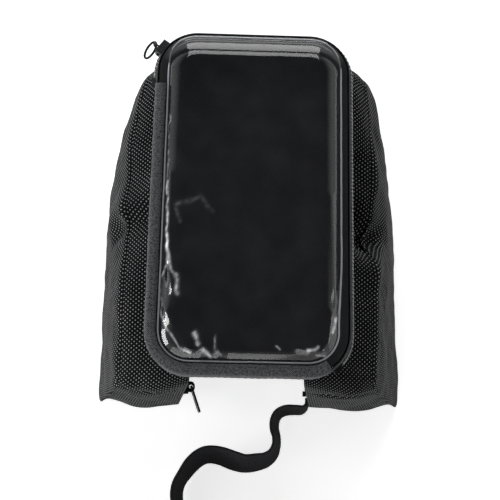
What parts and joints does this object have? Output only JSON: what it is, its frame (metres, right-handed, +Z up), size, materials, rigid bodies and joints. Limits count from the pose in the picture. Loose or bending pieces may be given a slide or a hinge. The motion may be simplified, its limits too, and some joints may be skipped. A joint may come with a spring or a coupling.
{
  "type": "stem phone bag",
  "caption": "Zipped phone pocket with a clear window, on a saddle panel between soft side pouches that straddle a bicycle's frame tube, with a rear strap.",
  "frame": {"origin": "centre of the saddle panel's underside, where the bag rests on the frame tube", "axes": "+Y along the tube towards the bicycle's front, +Z up out of the pocket, +X to the rider's right"},
  "size_m": [0.1649, 0.2506, 0.0991],
  "materials": {
    "coarse_weave": "matt coarse weave with a light coating glint",
    "lining": "matt brushed lining",
    "binding_twill": "matt twill tape",
    "zip_tape": "matt woven zip tape",
    "zip_coil": "satin",
    "clear_film": "glossy clear plastic film",
    "slider_metal": "dark satin",
    "strap_webbing": "soft woven webbing"
  },
  "bodies": {
    "bag": {"edge_binding": "binding_twill", "left_gusset": "coarse_weave", "left_inner_panel": "coarse_weave", "left_outer_panel": "coarse_weave", "left_zip_coil": "zip_coil", "left_zip_stop_front": "slider_metal", "left_zip_stop_rear": "slider_metal", "left_zip_tape": "zip_tape", "lid_frame": "zip_tape", "pocket_pad": "lining", "pocket_tray": "coarse_weave", "pocket_zip_coil": "zip_coil", "pocket_zip_stop_left": "slider_metal", "pocket_zip_stop_right": "slider_metal", "pocket_zip_tape": "zip_tape", "rear_strap": "strap_webbing", "right_gusset": "coarse_weave", "right_inner_panel": "coarse_weave", "right_outer_panel": "coarse_weave", "right_zip_coil": "zip_coil", "right_zip_stop_front": "slider_metal", "right_zip_stop_rear": "slider_metal", "right_zip_tape": "zip_tape", "saddle_panel": "coarse_weave", "strap_patch": "strap_webbing", "window_film": "clear_film"},
    "pocket_slider": {"pocket_zip_slider": "slider_metal"},
    "pocket_pull": {"pocket_zip_pull": "slider_metal"},
    "left_slider": {"left_zip_slider": "slider_metal"},
    "left_pull": {"left_zip_pull": "slider_metal"},
    "right_slider": {"right_zip_slider": "slider_metal"},
    "right_pull": {"right_zip_pull": "slider_metal"}
  },
  "joints": [
    {"name": "pocket_zip_travel", "type": "hinge", "parent": "bag", "child": "pocket_slider", "pos_m": [-0.0274, 0.064, 0.01283], "axis": [0, 0, 1], "range_deg": [-50, 32]},
    {"name": "pocket_pull_swing", "type": "hinge", "parent": "pocket_slider", "child": "pocket_pull", "pos_m": [-0.04984, 0.07956, 0.01283], "axis": [0, 0, 1], "range_deg": [-165, 0]},
    {"name": "left_zip_travel", "type": "slide", "parent": "bag", "child": "left_slider", "axis": [0, 1, 0], "range_m": [0, 0.086]},
    {"name": "left_pull_swing", "type": "hinge", "parent": "left_slider", "child": "left_pull", "pos_m": [-0.02875, -0.0836, -0.06478], "axis": [0.124, 0, 0.9923], "range_deg": [-15, 150]},
    {"name": "right_zip_travel", "type": "slide", "parent": "bag", "child": "right_slider", "axis": [0, 1, 0], "range_m": [-0.086, 0]},
    {"name": "right_pull_swing", "type": "hinge", "parent": "right_slider", "child": "right_pull", "pos_m": [0.02875, 0.003, -0.06478], "axis": [-0.124, 0, 0.9923], "range_deg": [0, 168]}
  ]
}
